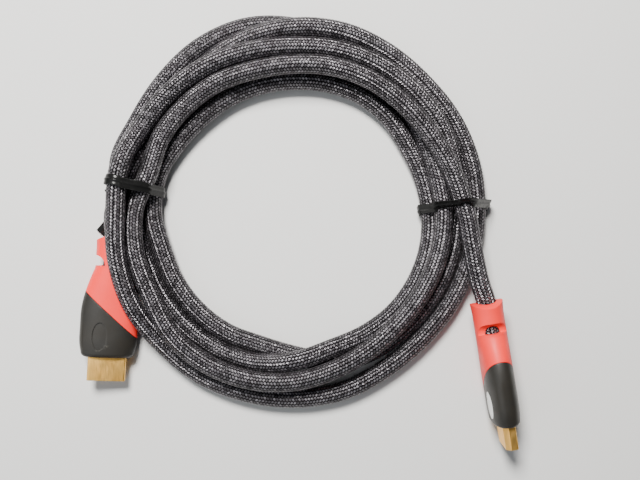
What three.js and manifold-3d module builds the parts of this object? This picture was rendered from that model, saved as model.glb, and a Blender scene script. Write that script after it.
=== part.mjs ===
// A braided HDMI cable, coiled flat and held by two twist ties, with a plug at each end.
// Millimetres, +Z up. Pieces are placed round the middle of the coil, and the last lines
// move the whole so that its origin is the middle of its base.

import * as THREE from 'three';
import { mergeVertices } from 'three/addons/utils/BufferGeometryUtils.js';
import Module from 'manifold-3d';

const wasm = await Module();
wasm.setup();

// Clearances
const seatGap = 0.3; // between pieces that touch on the real cable
const fineGap = 0.1; // between the small pieces inside a plug
const overlap = 1; // how far a cutter runs past what it cuts
const weldDistance = 1e-4;

// Cable and coil
const cableDiameter = 7; // over the braid
const cableSides = 12;
const coilMeanRadius = 60;
const lowerTurns = 3;
const upperTurns = 2;
const turnSpacing = 8.1; // between turns of one layer
const turnRise = 6.6; // from one layer to the next
const turnArcStep = 30; // degrees for each facet of a turn
const coilFacets = 64;
const valleyAngle = 45; // degrees from the line between two turns to where their arcs stop

// Twist ties
const tieWidth = 3.9;
const tieThickness = 0.9;
const leftTieAngle = 171; // degrees round the coil
const rightTieAngle = 2.2;
const rightTieTwist = 62; // degrees that the ribbon stands up where it crosses the top
const tieArcStep = 15;

// Plug body
const bodyLength = 45.4;
const bodyWidth = 21.2;
const bodyThickness = 10.8;
const mouthWidth = 13;
const mouthThickness = 12;
const neckWidth = 12.6;
const neckThickness = 11.4;
const neckLength = 12; // from the mouth to where the body starts to widen
const frontLength = 15; // from the nose to where the body reaches its full width
const noseWidth = 19.6;
const noseThickness = 10.3;
const noseRounding = 1.8;
const neckSquareness = 2; // the superellipse's power: 2 is an ellipse
const bodySquareness = 2.4;
const bodySides = 32;
const shoulderSteps = 6;
const noseSteps = 3;

// Slanted joint between the strain relief and the housing
const jointSetback = 16.4; // from the nose, measured on the axis
const jointSlant = 41; // degrees
// Bore and wedge notches in the strain relief
const boreDepth = 17;
const notchStation = 11.4;
const notchHeight = 4;
const notchFloor = 2.6; // from the axis to the notch's inner end
const notchArch = 4; // across, from the inner end to the crown of its arched face
const notchFacets = 6;

// Oval recess on both broad faces, and the plate set in one of them
const ovalLength = 10.4;
const ovalWidth = 5.4;
const ovalSetback = 8; // from the nose
const ovalOffset = -3.1; // from the axis, towards the side where the housing is longest
const recessDepth = 0.4;
const labelThickness = 0.3;
const ovalRoot = 0.5; // how far below the recess floor its prism starts
const ovalFacets = 14;

// Metal shell
const shellWidth = 13.9;
const shellHeight = 4.45;
const shellWall = 0.4;
const shellExposed = 8.8;
const shellSeated = 4;
const shellCorner = 0.7;
const shellSideHeight = 2.7; // of the upright side above its step
const shellStep = 0.45;
const shellBaseWidth = 10.4;
const shellLeastCorner = 0.2;
const shellCornerFacets = 4;

// Contact carrier and contacts
const carrierSetback = 0.8;
const slotWidth = 11.4;
const slotHeight = 1.9;
const slotDepth = 8;
const contactPitch = 1;
const contactWidth = 0.45;
const contactThickness = 0.25;
const contactLength = 5.5;
const upperContacts = 10;
const lowerContacts = 9;

// Where the plugs lie: the mouth's place beyond the coil's mean radius and round the coil
const plugA = { outset: 8.3, angle: 187.5, heading: 183.5, pitch: 0, roll: -12 };
const plugB = { outset: 17.6, angle: -25.2, heading: 170.3, pitch: 3.5, roll: -90 };

// The free run of cable from each mouth to the coil, as outset, angle and height
const endARun = [[7.9, 183.8, 7.9], [7.2, 180, 10.2]];
const endBRun = [[13.3, -20.9, 13.4], [8.8, -15.2, 13.6], [5.8, -10.1, 13.9], [4, -5.4, 14.1]];

// The flat tails of the ties on the floor, as outset and distance round the coil from the tie
const leftTail = [[2.9, -0.7], [7.9, -0.4], [11.7, 11.8], [14.5, 18.2], [10, 19.4]];
const rightTail = [[-2, 1.7], [2, 1.7], [3.2, -10.4], [0.3, -11.9]];

const cableRadius = cableDiameter / 2;
const coilBase = tieThickness + seatGap;
const lowerTurnZ = coilBase + cableRadius;
const upperTurnZ = lowerTurnZ + turnRise;
const jointStation = bodyLength - jointSetback;
const ovalStation = bodyLength - ovalSetback;

const deg = THREE.MathUtils.degToRad;
const polar = (radius, degrees) => [radius * Math.cos(deg(degrees)), radius * Math.sin(deg(degrees))];

const material = (color, roughness, metalness = 0) =>
  new THREE.MeshStandardMaterial({ color, roughness, metalness });
const braidBlack = material(0x17161a, 0.55);
const tieBlack = material(0x101112, 0.35);
const housingBlack = material(0x2b2a28, 0.6);
const reliefRed = material(0xe0463c, 0.45);
const shellGold = material(0xd9a648, 0.3, 1);
const carrierBlack = material(0x151515, 0.6);
const contactGold = material(0xe0b45a, 0.25, 1);
const labelWhite = material(0xe9e9e6, 0.5);

// Solids

function solidOf(geometry) {
  const bare = geometry.clone();
  bare.deleteAttribute('normal');
  bare.deleteAttribute('uv');
  const merged = mergeVertices(bare, weldDistance);
  return new wasm.Manifold(new wasm.Mesh({
    numProp: 3,
    vertProperties: new Float32Array(merged.attributes.position.array),
    triVerts: new Uint32Array(merged.index.array),
  }));
}

function geometryOf(solid) {
  const mesh = solid.getMesh();
  const geometry = new THREE.BufferGeometry();
  geometry.setAttribute('position', new THREE.BufferAttribute(mesh.vertProperties, 3));
  geometry.setIndex(new THREE.BufferAttribute(mesh.triVerts, 1));
  geometry.computeVertexNormals();
  return geometry;
}

const cut = (geometry, cutters) =>
  geometryOf(cutters.reduce((solid, cutter) => solid.subtract(solidOf(cutter)), solidOf(geometry)));
const keep = (geometry, other) => geometryOf(solidOf(geometry).intersect(solidOf(other)));
const join = (geometry, other) => geometryOf(solidOf(geometry).add(solidOf(other)));

function named(name, geometry, look) {
  const mesh = new THREE.Mesh(geometry, look);
  mesh.name = name;
  return mesh;
}

// A skin over rings of points, all with the same count, closed by fans or back on the first ring
function skin(rings, closed = false) {
  const count = rings[0].length;
  const points = rings.flat();
  const index = [];
  const spans = closed ? rings.length : rings.length - 1;
  for (let i = 0; i < spans; i += 1) {
    const from = i * count;
    const to = ((i + 1) % rings.length) * count;
    for (let j = 0; j < count; j += 1) {
      const k = (j + 1) % count;
      index.push(from + j, from + k, to + k, from + j, to + k, to + j);
    }
  }
  if (!closed) {
    const last = (rings.length - 1) * count;
    for (let j = 1; j < count - 1; j += 1) {
      index.push(0, j + 1, j, last, last + j, last + j + 1);
    }
  }
  const geometry = new THREE.BufferGeometry().setFromPoints(points);
  geometry.setIndex(index);
  return geometry;
}

function box(low, high) {
  const size = high.map((value, axis) => value - low[axis]);
  const middle = high.map((value, axis) => (value + low[axis]) / 2);
  return new THREE.BoxGeometry(...size).translate(...middle);
}

// Cable

function polygon(radius, sides) {
  const corners = [];
  for (let i = 0; i < sides; i += 1) {
    corners.push(new THREE.Vector2(...polar(radius, (360 * (i + 0.5)) / sides)));
  }
  return new THREE.Shape(corners);
}

function tube(points, radius, steps) {
  return new THREE.ExtrudeGeometry(polygon(radius, cableSides), {
    extrudePath: new THREE.CatmullRomCurve3(points),
    steps,
    bevelEnabled: false,
  });
}

// The outline of the stacked turns: an arc for each turn that shows, with its middle and its ends
function coilArcs() {
  const lower = [];
  for (let i = 0; i < lowerTurns; i += 1) {
    lower.push([coilMeanRadius + (i - (lowerTurns - 1) / 2) * turnSpacing, lowerTurnZ]);
  }
  const upper = [];
  for (let i = 0; i < upperTurns; i += 1) {
    upper.push([coilMeanRadius + (i - (upperTurns - 1) / 2) * turnSpacing, upperTurnZ]);
  }
  const outer = lower.length - 1;
  const top = upper.length - 1;
  const lean = THREE.MathUtils.radToDeg(
    Math.atan2(upperTurnZ - lowerTurnZ, upper[top][0] - lower[outer][0]),
  );
  const arcs = [];
  lower.forEach((middle, i) => {
    const from = i === 0 ? 180 - lean + valleyAngle : 180 + valleyAngle;
    const to = i === outer ? 360 + lean - valleyAngle : 360 - valleyAngle;
    arcs.push({ middle, from, to });
  });
  upper.reverse().forEach((middle, i) => {
    const from = i === 0 ? lean - 180 + valleyAngle : valleyAngle;
    const to = i === top ? 360 - lean - valleyAngle : 180 - valleyAngle;
    arcs.push({ middle, from, to });
  });
  return arcs;
}

function coilRing() {
  const profile = [];
  for (const { middle, from, to } of coilArcs()) {
    const facets = Math.max(1, Math.round((to - from) / turnArcStep));
    for (let i = 0; i <= facets; i += 1) {
      const [x, z] = polar(cableRadius, from + ((to - from) * i) / facets);
      profile.push(new THREE.Vector2(middle[0] + x, middle[1] + z));
    }
  }
  profile.push(profile[0].clone());
  return new THREE.LatheGeometry(profile, coilFacets).rotateX(Math.PI / 2);
}

// A ribbon wrapped round the stacked turns. Its path is the hull of the turns, pushed out by
// the clearance, and twist gives how far the ribbon stands on its edge at each point.
function tieBand(angle, twist) {
  const half = (count) => ((count - 1) / 2) * turnSpacing;
  const flank = THREE.MathUtils.radToDeg(Math.atan2(half(lowerTurns) - half(upperTurns), turnRise));
  const corners = [
    { at: [coilMeanRadius + half(lowerTurns), lowerTurnZ], from: -90, to: flank },
    { at: [coilMeanRadius + half(upperTurns), upperTurnZ], from: flank, to: 90 },
    { at: [coilMeanRadius - half(upperTurns), upperTurnZ], from: 90, to: 180 - flank },
    { at: [coilMeanRadius - half(lowerTurns), lowerTurnZ], from: 180 - flank, to: 270 },
  ];
  const along = new THREE.Vector3(-Math.sin(deg(angle)), Math.cos(deg(angle)), 0);
  const rings = [];
  for (const { at, from, to } of corners) {
    const facets = Math.ceil((to - from) / tieArcStep);
    for (let i = 0; i <= facets; i += 1) {
      const turn = from + ((to - from) * i) / facets;
      const lift = Math.max(0, Math.sin(deg(turn)));
      const lean = deg(twist * lift);
      const reach = (tieWidth / 2) * Math.sin(lean) + (tieThickness / 2) * Math.cos(lean);
      const [r, z] = polar(cableRadius + seatGap + reach, turn);
      const [x, y] = polar(at[0] + r, angle);
      const [outR, outZ] = polar(1, turn);
      const out = new THREE.Vector3(...polar(outR, angle), outZ);
      const across = along.clone().multiplyScalar(Math.cos(lean)).addScaledVector(out, Math.sin(lean));
      const face = out.clone().multiplyScalar(Math.cos(lean)).addScaledVector(along, -Math.sin(lean));
      const middle = new THREE.Vector3(x, y, at[1] + z);
      const ring = [[-1, -1], [-1, 1], [1, 1], [1, -1]].map(([u, v]) => middle.clone()
        .addScaledVector(across, (u * tieWidth) / 2)
        .addScaledVector(face, (v * tieThickness) / 2));
      rings.push(ring);
    }
  }
  return skin(rings, true);
}

function twistTie(name, angle, twist, tailOutline) {
  const outline = new THREE.Shape(tailOutline.map(([x, y]) => new THREE.Vector2(coilMeanRadius + x, y)));
  const tail = new THREE.ExtrudeGeometry(outline, { depth: tieThickness, bevelEnabled: false })
    .rotateZ(deg(angle));
  return named(name, join(tieBand(angle, twist), tail), tieBlack);
}

// Plug, in its own frame: X across the width, Y through the thickness, Z from the mouth to the tip

function bodyRings(grow) {
  const stations = [
    { z: 0, width: mouthWidth, thickness: mouthThickness, square: neckSquareness },
    { z: neckLength / 3, width: neckWidth, thickness: neckThickness, square: neckSquareness },
  ];
  const shoulderEnd = bodyLength - frontLength;
  for (let i = 0; i <= shoulderSteps; i += 1) {
    const u = i / shoulderSteps;
    const swell = Math.sin((u * Math.PI) / 2);
    stations.push({
      z: neckLength + (shoulderEnd - neckLength) * u,
      width: neckWidth + (bodyWidth - neckWidth) * swell,
      thickness: neckThickness + (bodyThickness - neckThickness) * u,
      square: neckSquareness + (bodySquareness - neckSquareness) * u,
    });
  }
  stations.push({
    z: shoulderEnd + frontLength / 2,
    width: bodyWidth,
    thickness: bodyThickness,
    square: bodySquareness,
  });
  for (let i = 0; i <= noseSteps; i += 1) {
    const bend = (i / noseSteps) * (Math.PI / 2);
    const inset = 2 * noseRounding * (1 - Math.cos(bend));
    stations.push({
      z: bodyLength - noseRounding * (1 - Math.sin(bend)),
      width: noseWidth - inset,
      thickness: noseThickness - inset,
      square: bodySquareness,
    });
  }
  return stations.map(({ z, width, thickness, square }, i) => {
    const ring = [];
    const end = i === 0 ? -grow : grow * (i === stations.length - 1);
    for (let j = 0; j < bodySides; j += 1) {
      const [c, s] = polar(1, (360 * j) / bodySides);
      const x = (width / 2 + grow) * Math.sign(c) * Math.abs(c) ** (2 / square);
      const y = (thickness / 2 + grow) * Math.sign(s) * Math.abs(s) ** (2 / square);
      ring.push(new THREE.Vector3(x, y, z + end));
    }
    return ring;
  });
}

const plugBody = (grow = 0) => skin(bodyRings(grow));

// Everything on the mouth's side of the slanted joint, moved along the axis by shift
function jointBlock(shift) {
  const reach = 2 * bodyLength;
  return box([-reach, -reach, -2 * reach], [reach, reach, 0])
    .rotateY(-deg(jointSlant))
    .translate(0, 0, jointStation + shift);
}

// A notch in a narrow edge: flat on the tip's side, and arched over on the mouth's side
function notchWedge(side) {
  const outline = new THREE.Shape();
  outline.moveTo(side * bodyWidth, notchStation);
  outline.lineTo(side * notchFloor, notchStation);
  for (let i = 1; i <= notchFacets; i += 1) {
    const [near, rise] = polar(1, (90 * i) / notchFacets);
    outline.lineTo(side * (notchFloor + notchArch * (1 - near)), notchStation - notchHeight * rise);
  }
  outline.lineTo(side * bodyWidth, notchStation - notchHeight);
  return new THREE.ExtrudeGeometry(outline, { depth: bodyWidth, bevelEnabled: false })
    .translate(0, 0, -bodyWidth / 2)
    .rotateX(Math.PI / 2);
}

// An oval prism through the broad face on the given side, from depth below the crown outwards
function ovalPrism(side, grow, depth) {
  const shape = new THREE.Shape();
  shape.absellipse(ovalOffset, ovalStation, ovalWidth / 2 + grow, ovalLength / 2 + grow, 0, 2 * Math.PI);
  const prism = new THREE.ExtrudeGeometry(shape, {
    depth: bodyThickness,
    bevelEnabled: false,
    curveSegments: ovalFacets,
  }).rotateX(Math.PI / 2);
  const floor = bodyThickness / 2 - depth;
  return side > 0 ? prism.translate(0, floor + bodyThickness, 0) : prism.translate(0, -floor, 0);
}

// The shell's section, shrunk by inset on every side
function shellOutline(inset) {
  const half = shellWidth / 2 - inset;
  const top = shellHeight / 2 - inset;
  const base = -shellHeight / 2 + inset;
  const corner = Math.max(shellCorner - inset, shellLeastCorner);
  const stepTop = shellHeight / 2 - shellSideHeight;
  const shape = new THREE.Shape();
  shape.moveTo(-shellBaseWidth / 2 + inset / 2, base);
  shape.lineTo(shellBaseWidth / 2 - inset / 2, base);
  shape.lineTo(half - shellStep, stepTop - shellStep / 2 + inset / 2);
  shape.lineTo(half, stepTop + inset / 2);
  shape.lineTo(half, top - corner);
  shape.absarc(half - corner, top - corner, corner, 0, Math.PI / 2);
  shape.lineTo(-half + corner, top);
  shape.absarc(-half + corner, top - corner, corner, Math.PI / 2, Math.PI);
  shape.lineTo(-half, stepTop + inset / 2);
  shape.lineTo(-half + shellStep, stepTop - shellStep / 2 + inset / 2);
  shape.closePath();
  return shape;
}

function shellPrism(inset, from, to) {
  return new THREE.ExtrudeGeometry(shellOutline(inset), {
    depth: to - from,
    bevelEnabled: false,
    curveSegments: shellCornerFacets,
  }).translate(0, 0, from);
}

function plugPieces(letter) {
  const rear = bodyLength - shellSeated;
  const tip = bodyLength + shellExposed;
  const carrierFront = tip - carrierSetback;
  const boreRadius = cableRadius + seatGap;
  const bore = new THREE.CylinderGeometry(boreRadius, boreRadius, boreDepth + overlap, bodySides)
    .rotateX(Math.PI / 2)
    .translate(0, 0, (boreDepth - overlap) / 2);
  const recesses = [1, -1].map((side) =>
    cut(ovalPrism(side, 0, recessDepth + ovalRoot), [plugBody(-recessDepth)]));
  const relief = cut(keep(plugBody(), jointBlock(-seatGap / 2)), [bore, notchWedge(1), notchWedge(-1)]);
  const pocket = shellPrism(-seatGap, rear - seatGap, tip);
  const housing = cut(plugBody(), [jointBlock(seatGap / 2), pocket, ...recesses]);
  const label = keep(
    cut(ovalPrism(-1, -fineGap, recessDepth + ovalRoot), [plugBody(fineGap - recessDepth)]),
    plugBody(fineGap + labelThickness - recessDepth),
  );
  const slotFloor = carrierFront - slotDepth;
  const slot = box([-slotWidth / 2, -slotHeight / 2, slotFloor], [slotWidth / 2, slotHeight / 2, tip]);
  const inside = shellPrism(shellWall, rear - overlap, tip + overlap);
  const shell = cut(shellPrism(0, rear, tip), [inside]);
  const carrier = cut(shellPrism(shellWall + fineGap, rear, carrierFront), [slot]);
  const pieces = [
    named(`plug_${letter}_strain_relief`, relief, reliefRed),
    named(`plug_${letter}_housing`, housing, housingBlack),
    named(`plug_${letter}_label_plate`, label, labelWhite),
    named(`plug_${letter}_shell`, shell, shellGold),
    named(`plug_${letter}_contact_carrier`, carrier, carrierBlack),
  ];
  [upperContacts, lowerContacts].forEach((count, row) => {
    const side = row === 0 ? 1 : -1;
    const wall = side * (slotHeight / 2 - fineGap);
    const inner = wall - side * contactThickness;
    for (let i = 0; i < count; i += 1) {
      const x = (i - (count - 1) / 2) * contactPitch;
      const name = `contact_${letter}_${row === 0 ? 'upper' : 'lower'}_${String(i + 1).padStart(2, '0')}`;
      const blade = box(
        [x - contactWidth / 2, Math.min(wall, inner), slotFloor + fineGap],
        [x + contactWidth / 2, Math.max(wall, inner), slotFloor + fineGap + contactLength],
      );
      pieces.push(named(name, blade, contactGold));
    }
  });
  return pieces;
}

// The plug's place: heading is the way its tip points, clockwise from +Y, pitch lowers the tip,
// and roll turns the plug on its axis. Its lowest point then rests on the floor.
function plugMatrix({ outset, angle, heading, pitch, roll }) {
  const level = new THREE.Vector3(Math.sin(deg(heading)), Math.cos(deg(heading)), 0);
  const side = new THREE.Vector3(0, 0, 1).cross(level);
  const tip = level.applyAxisAngle(side, deg(pitch));
  const up = tip.clone().cross(side).applyAxisAngle(tip, deg(roll));
  const across = up.clone().cross(tip);
  const matrix = new THREE.Matrix4().makeBasis(across, up, tip);
  const turned = plugBody().applyMatrix4(matrix);
  turned.computeBoundingBox();
  const mouth = polar(coilMeanRadius + outset, angle);
  return matrix.setPosition(...mouth, -turned.boundingBox.min.z);
}

function placedPlug(letter, place) {
  const plug = new THREE.Group();
  plug.add(...plugPieces(letter));
  plugMatrix(place).decompose(plug.position, plug.quaternion, plug.scale);
  return plug;
}

// The run of cable from the bottom of a plug's bore to the coil, made longer there by extra
function endPoints(place, run, extra) {
  const matrix = plugMatrix(place);
  const inside = [boreDepth - seatGap, boreDepth / 2, 0].map((z) =>
    new THREE.Vector3(0, 0, z).applyMatrix4(matrix));
  const free = run.map(([outset, angle, z]) =>
    new THREE.Vector3(...polar(coilMeanRadius + outset, angle), z));
  const [before, last] = free.slice(-2);
  last.addScaledVector(last.clone().sub(before).normalize(), extra);
  return [...inside, ...free];
}

function cableEnd(place, run, clearance = 0) {
  const points = endPoints(place, run, clearance);
  return tube(points, cableRadius + clearance, points.length + 2);
}

const cableAssembly = new THREE.Group();

const coil = cut(coilRing(), [
  cableEnd(plugA, endARun, seatGap),
  cableEnd(plugB, endBRun, seatGap),
  plugBody(seatGap).applyMatrix4(plugMatrix(plugA)),
  plugBody(seatGap).applyMatrix4(plugMatrix(plugB)),
]);

cableAssembly.add(
  named('cable_coil', coil, braidBlack),
  named('cable_end_a', cableEnd(plugA, endARun), braidBlack),
  named('cable_end_b', cableEnd(plugB, endBRun), braidBlack),
  twistTie('twist_tie_left', leftTieAngle, 0, leftTail),
  twistTie('twist_tie_right', rightTieAngle, rightTieTwist, rightTail),
  placedPlug('a', plugA),
  placedPlug('b', plugB),
);

cableAssembly.updateMatrixWorld(true);
const bounds = new THREE.Box3().setFromObject(cableAssembly, true);
const middle = bounds.getCenter(new THREE.Vector3());
cableAssembly.position.set(-middle.x, -middle.y, -bounds.min.z);

export default cableAssembly;
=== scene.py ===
import math

import bmesh
import bpy
import numpy as np
from mathutils import Matrix, Vector


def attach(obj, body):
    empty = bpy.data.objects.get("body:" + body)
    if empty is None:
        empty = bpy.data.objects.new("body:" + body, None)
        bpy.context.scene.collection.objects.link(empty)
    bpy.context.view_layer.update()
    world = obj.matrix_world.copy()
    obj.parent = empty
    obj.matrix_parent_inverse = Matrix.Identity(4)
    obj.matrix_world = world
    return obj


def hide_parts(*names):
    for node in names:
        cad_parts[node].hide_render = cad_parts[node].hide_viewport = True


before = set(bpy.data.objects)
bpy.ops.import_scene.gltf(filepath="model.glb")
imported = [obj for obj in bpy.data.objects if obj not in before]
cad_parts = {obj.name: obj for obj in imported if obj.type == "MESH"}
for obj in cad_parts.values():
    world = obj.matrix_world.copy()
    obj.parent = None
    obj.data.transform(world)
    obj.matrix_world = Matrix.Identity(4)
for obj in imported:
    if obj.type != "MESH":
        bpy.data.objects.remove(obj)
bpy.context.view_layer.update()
print("packed model loaded:", len(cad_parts), "nodes")

mm = 0.001
coilMiddle = np.array([-1.062, 7.780])  # mm, where the middle of the coil lies


def fromPolar(radius, degrees):
    angle = math.radians(degrees)
    return [coilMiddle[0] + radius * math.cos(angle), coilMiddle[1] + radius * math.sin(angle)]


# Camera, straight above the coil as in the photograph

camera = {
    "place": (8.29, -2.67, 300.0),  # mm
    "lens": 44.04,
    "sensor": 36.0,
}

cameraData = bpy.data.cameras.new("topCamera")
cameraData.lens = camera["lens"]
cameraData.sensor_width = camera["sensor"]
cameraData.clip_start = 0.01
topCamera = bpy.data.objects.new("topCamera", cameraData)
topCamera.location = Vector(camera["place"]) * mm
bpy.context.collection.objects.link(topCamera)
bpy.context.scene.camera = topCamera


# Where the two plugs lie. Their own axes: x across the width, y through the thickness, z towards the tip

plugBody = {
    "length": 45.4,
    "width": 21.2,
    "thickness": 10.8,
    "mouthWidth": 13.0,
    "mouthThickness": 12.0,
    "neckWidth": 12.6,
    "neckThickness": 11.4,
    "neckLength": 12.0,
    "frontLength": 15.0,  # full width from here to the nose
    "noseWidth": 19.6,
    "noseThickness": 10.3,
    "noseRound": 1.8,
    "neckPower": 2.0,  # 2 is an ellipse, more is squarer
    "bodyPower": 2.4,
    "sides": 96,
    "boreRadius": 3.75,
    "boreDepth": 17.0,
}

plugPlaces = {
    "a": {
        "mouthRadius": 68.3, "mouthAngle": 187.5, "height": 6.02,
        "heading": 183.5, "pitch": 0.0, "roll": -12.0,
    },
    "b": {
        "mouthRadius": 77.6, "mouthAngle": -25.2, "height": 12.89,
        "heading": 170.3, "pitch": 3.5, "roll": -90.0,
    },
}


def plugMatrix(place):  # mm, from the plug's own axes to the row
    heading = math.radians(place["heading"])
    level = Vector((math.sin(heading), math.cos(heading), 0))
    side = Vector((0, 0, 1)).cross(level)
    tip = Matrix.Rotation(math.radians(place["pitch"]), 3, side) @ level
    up = Matrix.Rotation(math.radians(place["roll"]), 3, tip) @ tip.cross(side)
    across = up.cross(tip)
    matrix = Matrix((across, up, tip)).transposed().to_4x4()
    matrix.translation = (*fromPolar(place["mouthRadius"], place["mouthAngle"]), place["height"])
    return matrix


matrixA = plugMatrix(plugPlaces["a"])
matrixB = plugMatrix(plugPlaces["b"])


# The cable's route: straight inside each plug, and between them four and a half turns clockwise

route = {
    "firstAngle": 180.0,
    "angleStep": 15.0,
    "radius": [
        67.1, 63.1, 61.3, 62.8, 65.1, 67.1, 68.2, 68.9, 68.8, 68.5, 68.9, 68.8,
        68.2, 68.0, 67.7, 67.4, 68.1, 69.7, 70.2, 70.6, 71.0, 70.2, 69.0, 66.9,
        64.7, 64.8, 64.2, 63.5, 62.5, 61.3, 61.1, 61.9, 62.5, 62.8, 62.8, 61.8,
        60.9, 60.9, 60.6, 60.3, 60.0, 58.8, 54.1, 51.9, 52.2, 52.3, 52.3, 52.2,
        53.8, 53.8, 51.7, 50.3, 50.0, 49.8, 49.8, 50.3, 50.7, 50.3, 49.4, 49.9,
        50.9, 52.0, 52.7, 53.1, 52.9, 52.7, 55.1, 58.1, 59.3, 59.6, 59.6, 59.4,
        61.6, 69.2, 68.3, 69.9, 72.0, 72.5, 70.0, 66.2, 62.2, 58.5, 55.9, 54.7,
        55.1, 55.5, 55.7, 56.2, 57.7, 59.9, 62.5, 64.2, 65.0, 64.3, 61.5, 60.8,
        59.3, 55.6, 56.6, 56.2, 55.4, 54.1, 54.1, 55.0, 55.7, 56.1, 57.1, 59.2,
        62.5,
    ],
    "height": [
        9.2, 11.2, 3.6, 4.5, 5.5, 8.2, 10.6, 10.2, 7.5, 5.2, 4.3, 4.3,
        4.6, 4.3, 4.3, 4.3, 4.3, 4.3, 4.3, 4.3, 4.2, 5.6, 12.1, 14.8,
        16.8, 18.2, 11.9, 11.6, 12.2, 12.4, 11.3, 11.2, 11.1, 10.1, 8.8, 6.4,
        4.6, 4.3, 4.3, 4.3, 4.2, 3.6, 3.6, 3.6, 4.3, 4.3, 4.3, 4.5,
        4.4, 4.5, 4.3, 4.3, 4.3, 4.3, 4.3, 4.3, 4.3, 4.3, 4.0, 4.1,
        4.6, 4.2, 4.1, 4.3, 4.8, 8.3, 11.1, 7.2, 4.8, 4.3, 3.9, 4.3,
        3.6, 3.6, 4.9, 4.3, 4.0, 3.6, 3.7, 3.6, 3.6, 4.1, 6.9, 9.4,
        10.4, 10.5, 10.6, 10.8, 11.2, 11.5, 11.7, 11.3, 10.6, 10.9, 10.9, 11.2,
        11.1, 12.1, 10.6, 10.4, 11.4, 12.2, 12.8, 13.2, 13.4, 13.8, 14.4, 15.0,
        14.1,
    ],
    "insidePlug": [16.5, 8.0, 0.0],  # from the mouth
    "leavingA": [(67.9, 183.75, 7.4)],  # radius, angle, height
    "leavingB": [(65.8, -10.1, 13.9), (68.5, -15.4, 13.6), (72.7, -21.0, 13.4)],
    "spacing": 0.4,  # between the points of the smooth line
}


def routePoints():  # mm
    inside = [matrixA @ Vector((0, 0, z)) for z in route["insidePlug"]]
    points = [tuple(p) for p in inside]
    points += [(*fromPolar(radius, angle), z) for radius, angle, z in route["leavingA"]]
    for i, (radius, height) in enumerate(zip(route["radius"], route["height"])):
        angle = route["firstAngle"] - i * route["angleStep"]
        points.append((*fromPolar(radius, angle), height))
    points += [(*fromPolar(radius, angle), z) for radius, angle, z in route["leavingB"]]
    inside = [matrixB @ Vector((0, 0, z)) for z in reversed(route["insidePlug"])]
    points += [tuple(p) for p in inside]
    return np.array(points)


def smoothLine(points, spacing):  # a spline through the points, then points at even steps along it
    knots = np.concatenate([[0], np.cumsum(np.sqrt(np.linalg.norm(np.diff(points, axis=0), axis=1)))])
    before = np.concatenate([[2 * knots[0] - knots[1]], knots[:-1]])
    after = np.concatenate([knots[1:], [2 * knots[-1] - knots[-2]]])
    pointBefore = np.concatenate([[2 * points[0] - points[1]], points[:-1]])
    pointAfter = np.concatenate([points[1:], [2 * points[-1] - points[-2]]])
    intoKnot = (points - pointBefore) / (knots - before)[:, None]
    outOfKnot = (pointAfter - points) / (after - knots)[:, None]
    share = ((knots - before) / (after - before))[:, None]
    slope = intoKnot * (1 - share) + outOfKnot * share
    pieces = []
    for i in range(len(points) - 1):
        width = knots[i + 1] - knots[i]
        t = np.linspace(0, 1, 40, endpoint=False)[:, None]
        pieces.append(
            (2 * t ** 3 - 3 * t ** 2 + 1) * points[i]
            + (t ** 3 - 2 * t ** 2 + t) * width * slope[i]
            + (3 * t ** 2 - 2 * t ** 3) * points[i + 1]
            + (t ** 3 - t ** 2) * width * slope[i + 1]
        )
    fine = np.concatenate(pieces + [points[-1:]])
    along = np.concatenate([[0], np.cumsum(np.linalg.norm(np.diff(fine, axis=0), axis=1))])
    count = int(along[-1] / spacing) + 1
    steps = np.linspace(0, along[-1], count)
    return steps, np.stack([np.interp(steps, along, fine[:, k]) for k in range(3)], axis=1)


def turningFrames(line):  # two directions square to the line that don't twist along it
    tangent = np.gradient(line, axis=0)
    tangent /= np.linalg.norm(tangent, axis=1)[:, None]
    side = np.zeros_like(line)
    side[0] = np.cross((0, 0, 1), tangent[0])
    for i in range(1, len(line)):
        carried = side[i - 1] - tangent[i] * np.dot(side[i - 1], tangent[i])
        side[i] = carried / np.linalg.norm(carried)
    return side, np.cross(tangent, side)


along, centreline = smoothLine(routePoints(), route["spacing"])
sideways, upwards = turningFrames(centreline)
cableLength = along[-1]
print("cable route:", round(cableLength), "mm long")


def meshObject(name, points, faces, smooth=True):  # points in mm
    mesh = bpy.data.meshes.new(name)
    mesh.from_pydata((np.asarray(points) * mm).tolist(), [], faces)
    mesh.shade_smooth() if smooth else mesh.shade_flat()
    made = bpy.data.objects.new(name, mesh)
    bpy.context.collection.objects.link(made)
    return made


def surfacePoints(s, angle, radius):  # on the cable, s along it and angle round it
    middle = np.stack([np.interp(s, along, centreline[:, k]) for k in range(3)], axis=-1)
    side = np.stack([np.interp(s, along, sideways[:, k]) for k in range(3)], axis=-1)
    up = np.stack([np.interp(s, along, upwards[:, k]) for k in range(3)], axis=-1)
    return middle + radius[..., None] * (np.cos(angle)[..., None] * side + np.sin(angle)[..., None] * up)


# Jacket, the smooth tube that shows between the braid's strands

jacket = {
    "radius": 3.2,
    "sides": 20,
    "step": 2.0,
}

ringSteps = np.linspace(0, cableLength, int(cableLength / jacket["step"]) + 1)
ringAngles = np.arange(jacket["sides"]) * 2 * math.pi / jacket["sides"]
gridSteps, gridAngles = np.meshgrid(ringSteps, ringAngles, indexing="ij")
jacketPoints = surfacePoints(gridSteps, gridAngles, np.full(gridSteps.shape, jacket["radius"]))
jacketFaces = []
for i in range(len(ringSteps) - 1):
    for j in range(jacket["sides"]):
        k = (j + 1) % jacket["sides"]
        row = i * jacket["sides"]
        nextRow = row + jacket["sides"]
        jacketFaces.append((row + j, row + k, nextRow + k, nextRow + j))
jacketFaces.append(tuple(reversed(range(jacket["sides"]))))
jacketFaces.append(tuple(range((len(ringSteps) - 1) * jacket["sides"], len(ringSteps) * jacket["sides"])))
cableJacket = meshObject("cableJacket", jacketPoints.reshape(-1, 3), jacketFaces)


# Braid, flat strands wound both ways round the jacket, over two and under two

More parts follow.
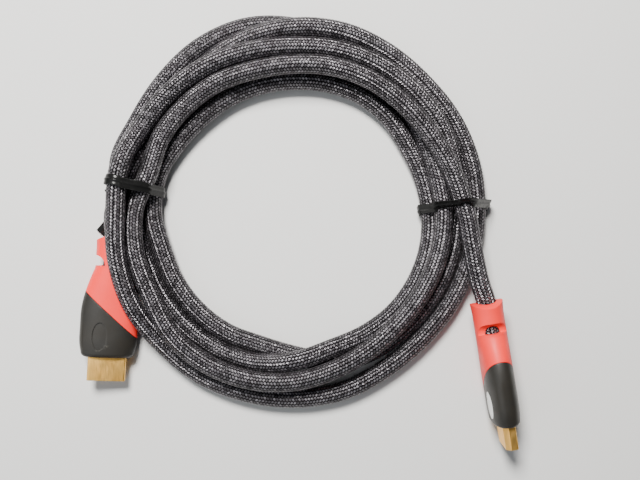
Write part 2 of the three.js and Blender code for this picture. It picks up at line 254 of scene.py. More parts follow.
braid = {
    "strandsEachWay": 18,
    "radius": 3.38,  # middle of the weave
    "weaveDepth": 0.13,
    "crown": 0.11,
    "width": 0.68,
    "lean": 45.0,  # degrees from the cable's length
    "stepsEachCrossing": 1.5,
    "pieces": 4,
    "endMargin": 0.6,  # bare jacket at each end of the cable
    "liftSharpness": 1.3,  # how steeply a strand climbs over a crossing
    "patternGap": 2000,  # between two strands on the pattern map
    "bakeRows": 16,  # rows that one strand takes on the baked map
    "bakeAlong": (0.002, 0.996),  # start and share of a row on the baked map
    "bakeAcross": (0.12, 0.76),
}


def braidStrands(name, strands):
    lean = math.radians(braid["lean"])
    pitch = 2 * math.pi * braid["radius"] / math.tan(lean)
    crossings = 2 * braid["strandsEachWay"] * cableLength / pitch
    count = int(crossings * braid["stepsEachCrossing"] / braid["bakeRows"]) * braid["bakeRows"]
    s = np.linspace(braid["endMargin"], cableLength - braid["endMargin"], count + 1)
    across = np.array([-0.5, 0.0, 0.5]) * braid["width"]
    points, faces, weave, bake = [], [], [], []
    perRow = count // braid["bakeRows"]
    rows = len(strands) * braid["bakeRows"]
    for place, (way, index) in enumerate(strands):
        turn = 2 * math.pi * index / braid["strandsEachWay"] + way * 2 * math.pi * s / pitch
        crossed = 2 * braid["strandsEachWay"] * s / pitch
        beat = 2 * index + way * crossed
        lift = way * np.clip(braid["liftSharpness"] * np.cos(math.pi / 2 * (beat - 0.5)), -1, 1)
        shape = (len(s), 3)
        sAcross = s[:, None] - way * across * math.sin(lean)
        turnAcross = turn[:, None] + across * math.cos(lean) / braid["radius"]
        height = np.full(shape, braid["radius"]) + braid["weaveDepth"] * lift[:, None]
        height[:, 1] += braid["crown"]
        points.append(surfacePoints(sAcross, turnAcross, height).reshape(-1, 3))
        first = place * 3 * len(s) + 3 * np.arange(count)[:, None] + np.arange(2)
        corners = np.stack([first, first + 1, first + 4, first + 3], axis=-1)
        if way < 0:
            corners = corners[..., ::-1]
        faces.append(corners.reshape(-1, 4))
        # pattern map: floats along the strand, whole numbers at their crests, and 0 to 1 across it
        step = np.arange(count)[:, None, None]
        lane = np.arange(2)[None, :, None]
        alongCorner = np.array([0, 0, 1, 1])
        acrossCorner = np.array([0, 1, 1, 0])
        if way < 0:
            alongCorner = alongCorner[::-1]
            acrossCorner = acrossCorner[::-1]
        floats = (beat - 0.5) / 4 + (0.5 if way < 0 else 0)
        u = floats[step + alongCorner + 0 * lane]
        v = (lane + acrossCorner + 0 * step) / 2
        weave.append(np.stack([u + braid["patternGap"] * place, v], axis=-1).reshape(-1, 2))
        # baked map: the strand cut into rows
        row = step // perRow + place * braid["bakeRows"]
        startU, shareU = braid["bakeAlong"]
        startV, shareV = braid["bakeAcross"]
        bakeU = startU + shareU * (step % perRow + alongCorner + 0 * lane) / perRow
        bakeV = (row + startV + shareV * v) / rows
        bake.append(np.stack([bakeU, bakeV], axis=-1).reshape(-1, 2))
    points = np.concatenate(points) * mm
    faces = np.concatenate(faces)
    mesh = bpy.data.meshes.new(name)
    mesh.vertices.add(len(points))
    mesh.vertices.foreach_set("co", points.ravel())
    mesh.loops.add(faces.size)
    mesh.loops.foreach_set("vertex_index", faces.ravel())
    mesh.polygons.add(len(faces))
    mesh.polygons.foreach_set("loop_start", np.arange(len(faces)) * 4)
    mesh.update(calc_edges=True)
    mesh.shade_smooth()
    mesh.uv_layers.new(name="weave").data.foreach_set("uv", np.concatenate(weave).ravel())
    mesh.uv_layers.new(name="OFBake").data.foreach_set("uv", np.concatenate(bake).ravel())
    made = bpy.data.objects.new(name, mesh)
    bpy.context.collection.objects.link(made)
    return made


allStrands = [(way, index) for index in range(braid["strandsEachWay"]) for way in (1, -1)]
perPiece = len(allStrands) // braid["pieces"]
braidPieces = []
for i in range(braid["pieces"]):
    strands = allStrands[i * perPiece:(i + 1) * perPiece]
    braidPieces.append(braidStrands(f"braidStrands{i + 1}", strands))
print("braid:", sum(len(piece.data.polygons) for piece in braidPieces), "faces")


# Plug bodies

def ring(width, thickness, power, z, sides):
    angles = np.arange(sides) * 2 * math.pi / sides
    c = np.cos(angles)
    s = np.sin(angles)
    x = width / 2 * np.sign(c) * np.abs(c) ** (2 / power)
    y = thickness / 2 * np.sign(s) * np.abs(s) ** (2 / power)
    return np.stack([x, y, np.full(sides, z)], axis=1)


def loftFaces(rings, sides):
    faces = [tuple(reversed(range(sides)))]
    for i in range(rings - 1):
        for j in range(sides):
            k = (j + 1) % sides
            faces.append((i * sides + j, i * sides + k, (i + 1) * sides + k, (i + 1) * sides + j))
    faces.append(tuple(range((rings - 1) * sides, rings * sides)))
    return faces


def bodySection(z):  # width, thickness and power of the body at z
    body = plugBody
    shoulderEnd = body["length"] - body["frontLength"]
    noseStart = body["length"] - body["noseRound"]
    if z < body["neckLength"]:
        u = min(1, 3 * z / body["neckLength"])
        width = body["mouthWidth"] + (body["neckWidth"] - body["mouthWidth"]) * u
        thickness = body["mouthThickness"] + (body["neckThickness"] - body["mouthThickness"]) * u
        return width, thickness, body["neckPower"]
    if z < shoulderEnd:
        u = (z - body["neckLength"]) / (shoulderEnd - body["neckLength"])
        swell = math.sin(u * math.pi / 2)
        width = body["neckWidth"] + (body["width"] - body["neckWidth"]) * swell
        thickness = body["neckThickness"] + (body["thickness"] - body["neckThickness"]) * u
        return width, thickness, body["neckPower"] + (body["bodyPower"] - body["neckPower"]) * u
    past = z - shoulderEnd - body["frontLength"] / 2
    span = noseStart - shoulderEnd - body["frontLength"] / 2
    u = min(1, max(0, past / span))
    ease = u * u
    width = body["width"] + (body["noseWidth"] - body["width"]) * ease
    thickness = body["thickness"] + (body["noseThickness"] - body["thickness"]) * ease
    bend = max(0, (z - noseStart) / body["noseRound"])
    inset = 2 * body["noseRound"] * (1 - math.sqrt(max(0, 1 - bend * bend)))
    return width - inset, thickness - inset, body["bodyPower"]


def bodyMesh(name, grow=0.0):
    body = plugBody
    straight = np.linspace(0, body["length"] - body["noseRound"], 64)
    noseSteps = np.sin(np.linspace(0.12, 1, 10) * math.pi / 2)
    nose = body["length"] - body["noseRound"] + body["noseRound"] * noseSteps
    stations = np.concatenate([straight, nose])
    rings = []
    for i, z in enumerate(stations):
        width, thickness, power = bodySection(z)
        shift = -grow if i == 0 else grow if i == len(stations) - 1 else 0
        rings.append(ring(width + 2 * grow, thickness + 2 * grow, power, z + shift, body["sides"]))
    return meshObject(name, np.concatenate(rings), loftFaces(len(rings), body["sides"]))


def cutBy(target, cutter, operation="DIFFERENCE"):
    modifier = target.modifiers.new("cut", "BOOLEAN")
    modifier.operation = operation
    modifier.solver = "EXACT"
    modifier.object = cutter
    applyModifiers(target)
    bpy.data.objects.remove(cutter)


def applyModifiers(target):
    shaped = target.evaluated_get(bpy.context.evaluated_depsgraph_get())
    mesh = bpy.data.meshes.new_from_object(shaped)
    target.modifiers.clear()
    target.data = mesh


def sliceBody(target, point, normal):  # keeps what lies against the normal
    work = bmesh.new()
    work.from_mesh(target.data)
    everything = work.verts[:] + work.edges[:] + work.faces[:]
    found = bmesh.ops.bisect_plane(
        work, geom=everything, plane_co=Vector(point) * mm, plane_no=normal, clear_outer=True)
    border = [item for item in found["geom_cut"] if isinstance(item, bmesh.types.BMEdge)]
    bmesh.ops.contextual_create(work, geom=border)
    bmesh.ops.recalc_face_normals(work, faces=work.faces)
    work.to_mesh(target.data)
    work.free()


def softenEdges(target, width, angle=35, segments=2):
    bevel = target.modifiers.new("softEdges", "BEVEL")
    bevel.width = width * mm
    bevel.segments = segments
    bevel.limit_method = "ANGLE"
    bevel.angle_limit = math.radians(angle)
    bevel.harden_normals = False
    bevel.use_clamp_overlap = True
    applyModifiers(target)
    target.data.shade_smooth()
    target.data.set_sharp_from_angle(angle=math.radians(45))


def prismObject(name, outline, low, high):  # an outline in x and z, drawn through y from low to high
    count = len(outline)
    points = [(x, low, z) for x, z in outline] + [(x, high, z) for x, z in outline]
    faces = [tuple(range(count)), tuple(reversed(range(count, 2 * count)))]
    for j in range(count):
        k = (j + 1) % count
        faces.append((k, j, j + count, k + count))
    made = meshObject(name, points, faces, smooth=False)
    work = bmesh.new()
    work.from_mesh(made.data)
    bmesh.ops.recalc_face_normals(work, faces=work.faces)
    work.to_mesh(made.data)
    work.free()
    return made


def tubeObject(name, radius, low, high, along="z", sides=64):
    angles = np.arange(sides) * 2 * math.pi / sides
    a = radius * np.cos(angles)
    b = radius * np.sin(angles)
    if along == "z":
        rings = [np.stack([a, b, np.full(sides, z)], axis=1) for z in (low, high)]
    else:
        rings = [np.stack([a, np.full(sides, -y), b], axis=1) for y in (low, high)]
    return meshObject(name, np.concatenate(rings), loftFaces(2, sides), smooth=False)


# Strain relief, the red half that holds the cable

strainRelief = {
    "jointSetback": 16.4,  # from the nose, on the axis
    "jointSlant": 41.0,
    "jointGap": 0.12,
    "notchStation": 11.4,
    "notchHeight": 4.0,
    "notchFloor": 2.6,
    "notchArch": 4.0,
    "saddleDepth": 2.0,  # how far the rim dips at the narrow edges
    "edgeRound": 0.45,
}

slant = math.radians(strainRelief["jointSlant"])
jointNormal = Vector((-math.sin(slant), 0, math.cos(slant)))
jointStation = plugBody["length"] - strainRelief["jointSetback"]


def makeRelief(name):
    relief = bodyMesh(name)
    sliceBody(relief, (0, 0, jointStation - strainRelief["jointGap"]), jointNormal)
    cutBy(relief, tubeObject("bore", plugBody["boreRadius"], -4, plugBody["boreDepth"]))
    outside = plugBody["width"]
    station = strainRelief["notchStation"]
    for side in (1, -1):
        outline = [(side * outside, station), (side * strainRelief["notchFloor"], station)]
        for turn in np.linspace(0, math.pi / 2, 13)[1:]:
            x = strainRelief["notchFloor"] + strainRelief["notchArch"] * (1 - math.cos(turn))
            outline.append((side * x, station - strainRelief["notchHeight"] * math.sin(turn)))
        outline.append((side * outside, station - strainRelief["notchHeight"]))
        cutBy(relief, prismObject("notch", outline, -outside / 2, outside / 2))
    # the rim is scooped towards the narrow edges
    half = plugBody["mouthWidth"] / 2
    dip = strainRelief["saddleDepth"]
    scoop = [(x, dip * (abs(x) / half) ** 2.2 - 0.05) for x in np.linspace(-half - 1, half + 1, 41)]
    cutBy(relief, prismObject("scoop", scoop + [(half + 1, -6), (-half - 1, -6)], -outside / 2, outside / 2))
    softenEdges(relief, strainRelief["edgeRound"], segments=3)
    return relief


# Housing, the black half with the bare oval recess in each broad face

housing = {
    "ovalLength": 10.4,
    "ovalWidth": 5.4,
    "ovalSetback": 8.0,  # from the nose
    "ovalOffset": -3.1,
    "recessDepth": 0.4,
    "seatDepth": 4.0,  # the shell's part inside the housing
    "pocketGap": 0.2,
    "edgeRound": 0.3,
}


def ovalPrism(name, side, grow, depth):
    angles = np.arange(64) * 2 * math.pi / 64
    x = housing["ovalOffset"] + (housing["ovalWidth"] / 2 + grow) * np.cos(angles)
    z = plugBody["length"] - housing["ovalSetback"] + (housing["ovalLength"] / 2 + grow) * np.sin(angles)
    inner = plugBody["thickness"] / 2 - depth
    low, high = sorted((side * inner, side * (inner + depth + 3)))
    return prismObject(name, list(zip(x, z)), low, high)


def shellOutline(inset, arcSteps=6):  # the shell's section in x and y, its flat wide face up
    half = shell["width"] / 2 - inset
    top = shell["height"] / 2 - inset
    base = -top
    corner = max(shell["corner"] - inset, 0.2)
    stepTop = shell["height"] / 2 - shell["sideHeight"] + inset / 2
    stepLow = stepTop - shell["step"] / 2
    points = [(shell["baseWidth"] / 2 - inset / 2, base), (half - shell["step"], stepLow), (half, stepTop)]
    for i in range(arcSteps + 1):
        turn = i / arcSteps * math.pi / 2
        points.append((half - corner + corner * math.cos(turn), top - corner + corner * math.sin(turn)))
    mirrored = [(-x, y) for x, y in reversed(points)]
    return points + mirrored


shell = {
    "width": 13.9,
    "height": 4.45,
    "wall": 0.4,
    "exposed": 8.8,
    "corner": 0.7,
    "sideHeight": 2.7,
    "step": 0.45,
    "baseWidth": 10.4,
    "lip": 0.2,
}


def makeHousing(name):
    made = bodyMesh(name)
    sliceBody(made, (0, 0, jointStation + strainRelief["jointGap"]), -jointNormal)
    outline = shellOutline(-housing["pocketGap"])
    rear = plugBody["length"] - housing["seatDepth"]
    count = len(outline)
    points = [(x, y, z) for z in (rear, plugBody["length"] + 4) for x, y in outline]
    pocket = meshObject("pocket", points, loftFaces(2, count), smooth=False)
    cutBy(made, pocket)
    for side in (1, -1):
        oval = ovalPrism("oval", side, 0, housing["recessDepth"] + 0.6)
        cutBy(oval, bodyMesh("floor", -housing["recessDepth"]))
        cutBy(made, oval)
    softenEdges(made, housing["edgeRound"], angle=30, segments=3)
    return made


# Metal shell, a folded tube with a rounded lip

def makeShell(name):
    rear = plugBody["length"] - housing["seatDepth"]
    tip = plugBody["length"] + shell["exposed"]
    lip = shell["lip"]
    sections = [(0, rear), (0, tip - lip)]
    for i in range(1, 7):
        turn = i / 6 * math.pi
        sections.append((lip - lip * math.cos(turn), tip - lip + lip * math.sin(turn)))
    sections.append((shell["wall"], rear))
    rings = [[(x, y, z) for x, y in shellOutline(inset)] for inset, z in sections]
    count = len(rings[0])
    points = [point for section in rings for point in section]
    faces = []
    for i in range(len(rings)):
        row = i * count
        nextRow = (i + 1) % len(rings) * count
        for j in range(count):
            k = (j + 1) % count
            faces.append((row + j, row + k, nextRow + k, nextRow + j))
    made = meshObject(name, points, faces)
    made.data.set_sharp_from_angle(angle=math.radians(32))
    return made


# Label plate, a bare white oval

labelPlate = {
    "clearance": 0.1,
    "thickness": 0.3,
    "edgeRound": 0.06,
}


def makeLabel(name):
    plate = ovalPrism(name, -1, -labelPlate["clearance"], housing["recessDepth"] + 0.6)
    floor = housing["recessDepth"] - labelPlate["clearance"]
    cutBy(plate, bodyMesh("floor", -floor))
    cutBy(plate, bodyMesh("face", labelPlate["thickness"] - floor), "INTERSECT")
    softenEdges(plate, labelPlate["edgeRound"])
    return plate


def placedCopies(make, name):  # one shape, laid in both plugs
    first = make(name + "A")
    second = bpy.data.objects.new(name + "B", first.data.copy())
    bpy.context.collection.objects.link(second)
    scale = Matrix.Scale(mm, 4)
    for made, matrix in ((first, matrixA), (second, matrixB)):
        made.data.transform(scale @ matrix @ scale.inverted())
    return first, second


reliefA, reliefB = placedCopies(makeRelief, "strainRelief")
print("strain reliefs made")
housingA, housingB = placedCopies(makeHousing, "housing")
shellA, shellB = placedCopies(makeShell, "shell")
labelA, labelB = placedCopies(makeLabel, "labelPlate")
print("housings, shells and label plates made")


# Twist ties, flat ribbons with a wire down the middle, pulled tight round the turns

leftTie = {
    "angle": 171.0,
    "sway": {0: -0.6, 90: -0.8, 180: 0.6, 270: 0.0},  # degrees round the coil, by the way it faces
    "standing": {0: 6, 90: 12, 180: 6, 270: 0},  # how far the ribbon stands on its edge
    "tail": [
        (71.4, 172.5, 2.6), (69.5, 175.5, 0.8), (67.5, 179.3, 0.6),
        (70.8, 182.6, 0.6), (75.0, 186.0, 0.8),
    ],  # radius, angle, height
}

rightTie = {
    "angle": 2.2,
    "sway": {0: -0.2, 90: 1.2, 180: -2.0, 270: 0.0},
    "standing": {0: 28, 90: 64, 180: 14, 270: 0},
    "tail": [
        (72.6, 3.0, 2.8), (70.5, 0.5, 0.9), (66.5, -3.0, 0.6),
        (62.5, -7.0, 0.6), (60.5, -11.0, 0.6),
    ],
}

tieRibbon = {
    "width": 3.9,
    "thickness": 0.34,
    "wireBulge": 0.3,
    "wireWidth": 0.8,
    "lift": 0.35,  # from the braid to the middle of the ribbon
    "turnStep": 4,  # degrees, between the stations round the turns
    "spacing": 0.6,  # between the points on its flats and its tail
    "floorGap": 0.05,
}


def ribbonSection():  # across and out, round the ribbon
    half = tieRibbon["width"] / 2
    flat = tieRibbon["thickness"] / 2
    across = np.linspace(-half, half, 17)
    bulge = tieRibbon["wireBulge"] * np.exp(-(across / (tieRibbon["wireWidth"] / 2)) ** 2)
    edge = flat * np.sqrt(np.clip(1 - (np.abs(across) / half) ** 12, 0, 1))
    top = [(a, e + b) for a, e, b in zip(across, edge, bulge)]
    return top + [(a, -h) for a, h in reversed(top[1:-1])]


def eased(table, degrees):  # values given at 0, 90, 180 and 270, eased between
    quarter = int(degrees // 90) % 4
    share = degrees / 90 - degrees // 90
    share = share * share * (3 - 2 * share)
    low = table[quarter * 90]
    high = table[(quarter + 1) % 4 * 90]
    return low + (high - low) * share


def turnsAt(degrees):  # radius and height of each turn where it passes this angle
    flat = centreline[:, :2] - coilMiddle
    radius = np.hypot(flat[:, 0], flat[:, 1])
    passing = (np.degrees(np.arctan2(flat[:, 1], flat[:, 0])) - degrees + 540) % 360 - 180
    crossing = (np.abs(passing[:-1]) < 5) & (passing[:-1] >= 0) & (passing[1:] < 0)
    return [(radius[i], centreline[i, 2]) for i in np.flatnonzero(crossing)]


def makeTie(name, tie):
    turns = turnsAt(tie["angle"])
    reach = braid["radius"] + braid["weaveDepth"] + braid["crown"] + tieRibbon["lift"]
    stations = []
    for degrees in np.arange(0, 360, tieRibbon["turnStep"]):
        facing = math.radians(degrees)
        r, z = max(turns, key=lambda turn: turn[0] * math.cos(facing) + turn[1] * math.sin(facing))
        stations.append((degrees, r + reach * math.cos(facing), z + reach * math.sin(facing)))
    line = []
    for i, (degrees, r, z) in enumerate(stations):  # long flats get points of their own
        _, nextR, nextZ = stations[(i + 1) % len(stations)]
        count = max(1, int(math.hypot(nextR - r, nextZ - z) / tieRibbon["spacing"]))
        for k in range(count):
            share = k / count
            turned = degrees + tieRibbon["turnStep"] * share
            line.append((turned, r + (nextR - r) * share, z + (nextZ - z) * share))
    heights = np.array([z for _, _, z in line])
    floor = tieRibbon["thickness"] / 2 + tieRibbon["wireBulge"] + tieRibbon["floorGap"]
    section = ribbonSection()
    points, faces = [], []
    for (degrees, r, z), height in zip(line, heights):
        angle = tie["angle"] + eased(tie["sway"], degrees)
        middle = np.array([*fromPolar(r, angle), max(height, floor)])
        facing = math.radians(degrees)
        turn = math.radians(angle)
        outward = np.array([
            math.cos(facing) * math.cos(turn), math.cos(facing) * math.sin(turn), math.sin(facing)])
        aside = np.array([-math.sin(turn), math.cos(turn), 0.0])
        lean = math.radians(eased(tie["standing"], degrees))
        width = aside * math.cos(lean) + outward * math.sin(lean)
        face = outward * math.cos(lean) - aside * math.sin(lean)
        raised = math.sin(lean) * (tieRibbon["width"] / 2 - tieRibbon["lift"])
        for a, out in section:
            points.append(middle + outward * raised + width * a + face * out)
    count = len(section)
    for i in range(len(line)):
        row = i * count
        nextRow = (i + 1) % len(line) * count
        for j in range(count):
            k = (j + 1) % count
            faces.append((row + j, row + k, nextRow + k, nextRow + j))
    # the tail runs on from the outer side along the floor
    knots = np.array([(*fromPolar(radius, angle), z) for radius, angle, z in tie["tail"]])
    _, tailLine = smoothLine(knots, tieRibbon["spacing"])
    tangent = np.gradient(tailLine, axis=0)
    tangent /= np.linalg.norm(tangent, axis=1)[:, None]
    start = len(points)
    for i, (middle, direction) in enumerate(zip(tailLine, tangent)):
        width = np.cross((0, 0, 1), direction)
        width /= np.linalg.norm(width)
        face = np.cross(direction, width)
        for a, out in section:
            points.append(middle + width * a + face * out)
    faces.append(tuple(start + j for j in reversed(range(count))))
    for i in range(len(tailLine) - 1):
        row = start + i * count
        for j in range(count):
            k = (j + 1) % count
            faces.append((row + j, row + k, row + count + k, row + count + j))
    faces.append(tuple(start + (len(tailLine) - 1) * count + j for j in range(count)))
    made = meshObject(name, points, faces)
    work = bmesh.new()
    work.from_mesh(made.data)
    bmesh.ops.recalc_face_normals(work, faces=work.faces)
    work.to_mesh(made.data)
    work.free()
    made.data.set_sharp_from_angle(angle=math.radians(50))
    return made


tieLeft = makeTie("twistTieLeft", leftTie)
tieRight = makeTie("twistTieRight", rightTie)
print("twist ties made")


# Finishes

def newFinish(name, colour, roughness, **sockets):
    finish = bpy.data.materials.new(name)
    finish.use_nodes = True
    shader = finish.node_tree.nodes["Principled BSDF"]
    shader.inputs["Base Color"].default_value = (*colour, 1)
    shader.inputs["Roughness"].default_value = roughness
    for socket, value in sockets.items():
        shader.inputs[socket].default_value = value
    return finish, shader


def addNode(finish, kind, **values):
    node = finish.node_tree.nodes.new(kind)
    for key, value in values.items():
        if key in node.inputs:
            node.inputs[key].default_value = value
        else:
            setattr(node, key, value)
    return node


def join(finish, output, socket):
    finish.node_tree.links.new(output, socket)


def noiseAt(finish, size, detail=3.0, roughness=0.5):  # size in mm
    place = addNode(finish, "ShaderNodeTexCoord")
    noise = addNode(finish, "ShaderNodeTexNoise", Scale=1 / (size * mm), Detail=detail, Roughness=roughness)
    join(finish, place.outputs["Object"], noise.inputs["Vector"])
    return noise.outputs["Fac"]


def spread(finish, value, low, high, fromLow=0.0, fromHigh=1.0):
    scale = finish.node_tree.nodes.new("ShaderNodeMapRange")
    for socket, number in (("From Min", fromLow), ("From Max", fromHigh), ("To Min", low), ("To Max", high)):
        scale.inputs[socket].default_value = number
    join(finish, value, scale.inputs["Value"])
    return scale.outputs["Result"]


def blendColours(finish, share, first, second):
    mix = addNode(finish, "ShaderNodeMix", data_type="RGBA")
    for socket, colour in ((mix.inputs[6], first), (mix.inputs[7], second)):
        if hasattr(colour, "links"):
            join(finish, colour, socket)
        else:
            socket.default_value = (*colour, 1)
    join(finish, share, mix.inputs[0])
    return mix.outputs[2]


def addBump(finish, shader, height, distance, strength=1.0, under=None):  # distance in mm
    bump = addNode(finish, "ShaderNodeBump", Strength=strength, Distance=distance * mm)
    join(finish, height, bump.inputs["Height"])
    if under is not None:
        join(finish, under, bump.inputs["Normal"])
    join(finish, bump.outputs["Normal"], shader.inputs["Normal"])
    return bump.outputs["Normal"]


def mouldedPlastic(name, look):
    finish, shader = newFinish(name, look["colour"], look["roughness"])
    shader.inputs["Specular IOR Level"].default_value = look["shine"]
    patches = noiseAt(finish, look["patchSize"], 4)
    shade = spread(finish, patches, 0, 1, 0.35, 0.65)
    colour = blendColours(finish, shade, look["colour"], look["patchColour"])
    edges = addNode(finish, "ShaderNodeNewGeometry")
    worn = spread(finish, edges.outputs["Pointiness"], 0, 1, look["wearFrom"], look["wearFrom"] + 0.06)
    scuffs = spread(finish, noiseAt(finish, look["scuffSize"], 5, 0.7), 0, 1, 0.45, 0.7)
    both = addNode(finish, "ShaderNodeMath", operation="MULTIPLY")
    join(finish, worn, both.inputs[0])
    join(finish, scuffs, both.inputs[1])
    worn = blendColours(finish, both.outputs[0], colour, look["wornColour"])
    join(finish, worn, shader.inputs["Base Color"])
    gloss = spread(finish, patches, look["roughness"] - 0.06, look["roughness"] + 0.08, 0.3, 0.7)
    join(finish, gloss, shader.inputs["Roughness"])
    broad = addBump(finish, shader, noiseAt(finish, look["waveSize"], 2), look["waveHeight"])
    addBump(finish, shader, noiseAt(finish, look["grainSize"], 2), look["grainHeight"], under=broad)
    return finish


coralRed = mouldedPlastic("coralRed", {
    "colour": (0.82, 0.030, 0.022),
    "patchColour": (0.77, 0.025, 0.019),
    "wornColour": (0.88, 0.10, 0.08),
    "roughness": 0.46,
    "shine": 0.35,
    "patchSize": 6.0,
    "scuffSize": 0.8,
    "wearFrom": 0.53,
    "waveSize": 5.0,
    "waveHeight": 0.08,
    "grainSize": 0.22,
    "grainHeight": 0.012,
})

satinBlack = mouldedPlastic("satinBlack", {
    "colour": (0.017, 0.015, 0.012),
    "patchColour": (0.012, 0.011, 0.009),
    "wornColour": (0.07, 0.065, 0.055),
    "roughness": 0.42,
    "shine": 0.4,
    "patchSize": 7.0,
    "scuffSize": 0.7,
    "wearFrom": 0.53,
    "waveSize": 6.0,
    "waveHeight": 0.05,
    "grainSize": 0.25,
    "grainHeight": 0.02,
})

carrierBlack = mouldedPlastic("carrierBlack", {
    "colour": (0.012, 0.012, 0.013),
    "patchColour": (0.018, 0.017, 0.017),
    "wornColour": (0.05, 0.05, 0.05),
    "roughness": 0.5,
    "shine": 0.45,
    "patchSize": 3.0,
    "scuffSize": 0.5,
    "wearFrom": 0.54,
    "waveSize": 3.0,
    "waveHeight": 0.02,
    "grainSize": 0.2,
    "grainHeight": 0.01,
})

labelWhite = mouldedPlastic("labelWhite", {
    "colour": (0.80, 0.80, 0.78),
    "patchColour": (0.72, 0.72, 0.69),
    "wornColour": (0.45, 0.44, 0.42),
    "roughness": 0.32,
    "shine": 0.5,
    "patchSize": 4.0,
    "scuffSize": 0.6,
    "wearFrom": 0.54,
    "waveSize": 3.0,
    "waveHeight": 0.02,
    "grainSize": 0.3,
    "grainHeight": 0.006,
})

tieBlack = mouldedPlastic("tieBlack", {
    "colour": (0.006, 0.006, 0.006),
    "patchColour": (0.009, 0.009, 0.009),
    "wornColour": (0.03, 0.03, 0.03),
    "roughness": 0.23,
    "shine": 0.12,
    "patchSize": 3.0,
    "scuffSize": 0.6,
    "wearFrom": 0.54,
    "waveSize": 2.2,
    "waveHeight": 0.06,
    "grainSize": 0.5,
    "grainHeight": 0.01,
})


def goldPlate(name, look):
    finish, shader = newFinish(name, look["colour"], look["roughness"], Metallic=1.0)
    place = addNode(finish, "ShaderNodeTexCoord")
    stretch = addNode(finish, "ShaderNodeMapping")
    stretch.inputs["Scale"].default_value = look["brushing"]
    join(finish, place.outputs["Object"], stretch.inputs["Vector"])
    lines = addNode(finish, "ShaderNodeTexNoise", Scale=1 / mm, Detail=4.0)
    join(finish, stretch.outputs["Vector"], lines.inputs["Vector"])
    patches = noiseAt(finish, look["patchSize"], 4)
    shade = spread(finish, patches, 0, 1, 0.35, 0.65)
    join(finish, blendColours(finish, shade, look["colour"], look["dullColour"]), shader.inputs["Base Color"])
    least, most = look["roughness"] - 0.07, look["roughness"] + 0.1
    varied = spread(finish, lines.outputs["Fac"], least, most, 0.3, 0.7)
    join(finish, varied, shader.inputs["Roughness"])
    addBump(finish, shader, lines.outputs["Fac"], look["lineHeight"])
    return finish


shellGold = goldPlate("shellGold", {
    "colour": (1.0, 0.60, 0.16),
    "dullColour": (0.95, 0.54, 0.13),
    "roughness": 0.44,
    "patchSize": 5.0,
    "brushing": (2.4, 0.3, 1.0),
    "lineHeight": 0.006,
})

contactGold = goldPlate("contactGold", {
    "colour": (0.90, 0.64, 0.28),
    "dullColour": (0.78, 0.52, 0.20),
    "roughness": 0.25,
    "patchSize": 2.0,
    "brushing": (3.0, 0.6, 1.0),
    "lineHeight": 0.004,
})


def braidFinish(name, look):
    finish, shader = newFinish(name, look["colour"], look["roughness"], Metallic=look["gloss"])
    shader.inputs["Specular IOR Level"].default_value = look["shine"]
    weave = addNode(finish, "ShaderNodeUVMap", uv_map="weave")
    parts = addNode(finish, "ShaderNodeSeparateXYZ")
    join(finish, weave.outputs["UV"], parts.inputs[0])
    # painted glint: pale where a strand rises over the others, standing in for the sheen of its glossy
    # filaments; where it dives the colour drops to near black, painted shade
    floatTurn = addNode(finish, "ShaderNodeMath", operation="MULTIPLY")
    floatTurn.inputs[1].default_value = 2 * math.pi
    join(finish, parts.outputs["X"], floatTurn.inputs[0])
    rise = addNode(finish, "ShaderNodeMath", operation="COSINE")
    join(finish, floatTurn.outputs[0], rise.inputs[0])
    crestGlint = spread(finish, rise.outputs[0], 0, 1, look["glintFrom"], look["glintTo"])
    # each float's painted glint has a strength of its own, at random
    number = addNode(finish, "ShaderNodeMath", operation="ROUND")
    join(finish, parts.outputs["X"], number.inputs[0])
    chance = addNode(finish, "ShaderNodeTexWhiteNoise", noise_dimensions="1D")
    join(finish, number.outputs[0], chance.inputs["W"])
    glintStrength = spread(finish, chance.outputs["Value"], look["weakestGlint"], 1)
    share = addNode(finish, "ShaderNodeMath", operation="MULTIPLY")
    join(finish, crestGlint, share.inputs[0])
    join(finish, glintStrength, share.inputs[1])
    tints = spread(finish, noiseAt(finish, look["tintSize"], 3), 0, 1, 0.35, 0.65)
    base = blendColours(finish, tints, look["colour"], look["tintColour"])
    # the painted glint is mixed into the colour; with the high metallic gloss it also raises the reflection
    # on the crests, a painted reflection
    withGlint = blendColours(finish, share.outputs[0], base, look["glintColour"])
    join(finish, withGlint, shader.inputs["Base Color"])
    # fine filaments across the strand
    turns = addNode(finish, "ShaderNodeMath", operation="MULTIPLY")
    turns.inputs[1].default_value = look["filaments"] * 2 * math.pi
    join(finish, parts.outputs["Y"], turns.inputs[0])
    wave = addNode(finish, "ShaderNodeMath", operation="COSINE")
    join(finish, turns.outputs[0], wave.inputs[0])
    ridges = addBump(finish, shader, wave.outputs[0], look["filamentHeight"])
    addBump(finish, shader, noiseAt(finish, look["kinkSize"], 2), look["kinkHeight"], under=ridges)
    return finish


braidBlack = braidFinish("braidBlack", {
    "colour": (0.003, 0.0025, 0.003),
    "tintColour": (0.006, 0.0035, 0.005),
    # the pale below is painted glint on the strand crests, not a colour of the braid
    "glintColour": (0.38, 0.36, 0.385),
    "glintFrom": 0.35,
    "glintTo": 1.0,
    "weakestGlint": 0.24,
    "roughness": 0.30,
    "shine": 0.3,
    "gloss": 0.78,
    "filaments": 4,
    "filamentHeight": 0.03,
    "tintSize": 8.0,
    "kinkSize": 0.6,
    "kinkHeight": 0.05,
})

jacketBlack = mouldedPlastic("jacketBlack", {
    "colour": (0.010, 0.009, 0.010),
    "patchColour": (0.014, 0.012, 0.013),
    "wornColour": (0.02, 0.02, 0.02),
    "roughness": 0.5,
    "shine": 0.4,
    "patchSize": 5.0,
    "scuffSize": 0.6,
    "wearFrom": 0.56,
    "waveSize": 3.0,
    "waveHeight": 0.02,
    "grainSize": 0.3,
    "grainHeight": 0.01,
})
print("finishes made")


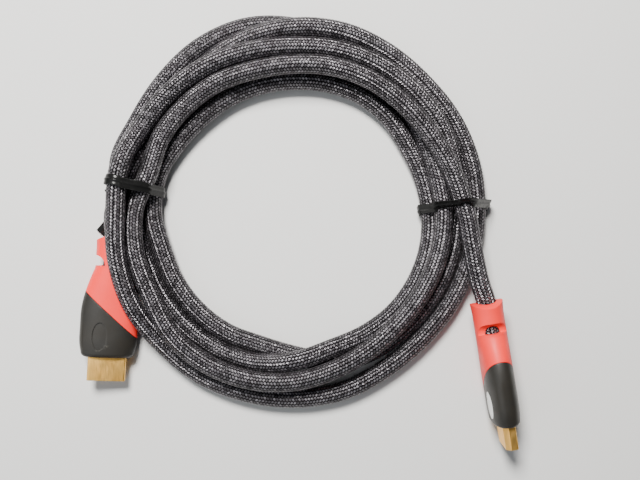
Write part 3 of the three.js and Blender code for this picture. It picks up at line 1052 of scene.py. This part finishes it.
# Each piece gets its finish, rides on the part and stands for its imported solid

def dress(piece, finish, slot, *nodes):
    piece.data.materials.clear()
    piece.data.materials.append(finish)
    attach(piece, "root")
    if nodes:
        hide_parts(*nodes)


dress(cableJacket, jacketBlack, "braid", "cable_coil", "cable_end_a", "cable_end_b")
for piece in braidPieces:
    dress(piece, braidBlack, "braid")
dress(reliefA, coralRed, "relief_plastic", "plug_a_strain_relief")
dress(reliefB, coralRed, "relief_plastic", "plug_b_strain_relief")
dress(housingA, satinBlack, "housing_plastic", "plug_a_housing")
dress(housingB, satinBlack, "housing_plastic", "plug_b_housing")
dress(shellA, shellGold, "gold_plate", "plug_a_shell")
dress(shellB, shellGold, "gold_plate", "plug_b_shell")
dress(labelA, labelWhite, "label_plastic", "plug_a_label_plate")
dress(labelB, labelWhite, "label_plastic", "plug_b_label_plate")
dress(tieLeft, tieBlack, "tie_plastic", "twist_tie_left")
dress(tieRight, tieBlack, "tie_plastic", "twist_tie_right")

for name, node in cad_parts.items():
    if name.endswith("contact_carrier"):
        kept = carrierBlack
    elif name.startswith("contact_"):
        kept = contactGold
    else:
        continue
    node.data.materials.clear()
    node.data.materials.append(kept)

print("pieces dressed")


# Floor and light

studio = {
    "floorSize": 1.6,
    "floorColour": (0.60, 0.60, 0.59),
    "skyStrength": 0.12,
    "skyColour": (0.92, 0.95, 1.0),
    "lamps": [
        # name, place in mm, size in m, power, colour
        ("softKey", (-110, 330, 560), 0.22, 14.0, (1.0, 0.98, 0.95)),
        ("softFill", (-350, -200, 400), 0.7, 1.6, (0.92, 0.96, 1.0)),
    ],
}

floorHalf = studio["floorSize"] * 500
floorCorners = [(x * floorHalf, y * floorHalf, 0) for x, y in ((-1, -1), (1, -1), (1, 1), (-1, 1))]
floor = meshObject("floor", floorCorners, [(0, 1, 2, 3)], smooth=False)
paleFloor, _ = newFinish("paleFloor", studio["floorColour"], 0.9)
floor.data.materials.append(paleFloor)

for name, place, size, power, colour in studio["lamps"]:
    lampData = bpy.data.lights.new(name, "AREA")
    lampData.shape = "DISK"
    lampData.size = size
    lampData.energy = power
    lampData.color = colour
    lamp = bpy.data.objects.new(name, lampData)
    lamp.location = Vector(place) * mm
    lamp.rotation_euler = (-lamp.location).to_track_quat("-Z", "Y").to_euler()
    bpy.context.collection.objects.link(lamp)

sky = bpy.data.worlds.new("softSky")
sky.use_nodes = True
sky.node_tree.nodes["Background"].inputs["Color"].default_value = (*studio["skyColour"], 1)
sky.node_tree.nodes["Background"].inputs["Strength"].default_value = studio["skyStrength"]
bpy.context.scene.world = sky
print("floor and light set")
